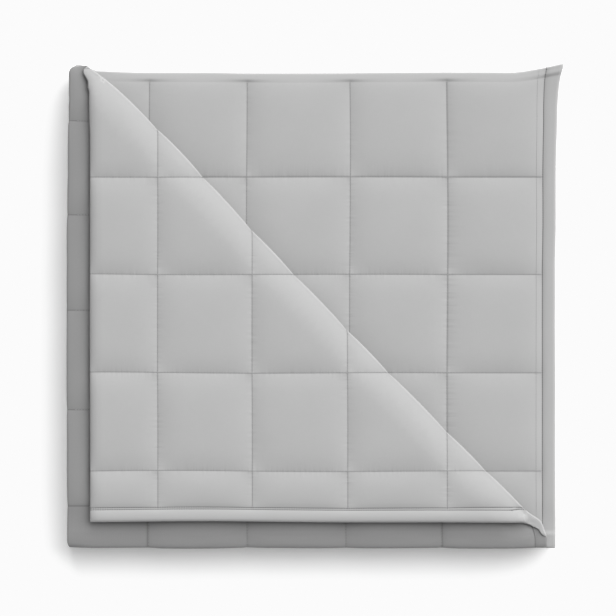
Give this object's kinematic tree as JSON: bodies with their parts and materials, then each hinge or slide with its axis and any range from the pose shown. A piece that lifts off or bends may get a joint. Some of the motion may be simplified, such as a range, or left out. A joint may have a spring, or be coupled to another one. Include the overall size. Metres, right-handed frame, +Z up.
{
  "type": "weighted blanket",
  "caption": "Quilted weighted blanket with a darker outer face and a lighter inner face, folded to a flat square, with one corner of the top layer turned back over the diagonal.",
  "frame": {"origin": "on the surface it rests on, under the middle of the folded pack's box", "axes": "+Z up, away from the surface; +X from the folded left side to the hemmed right side; +Y from the folded near side to the far side"},
  "size_m": [0.622, 0.6072, 0.0661],
  "materials": {
    "quilt_cloth": "fine matte woven cotton, quilted"
  },
  "bodies": {
    "root": {"blanket": "quilt_cloth"}
  },
  "joints": []
}
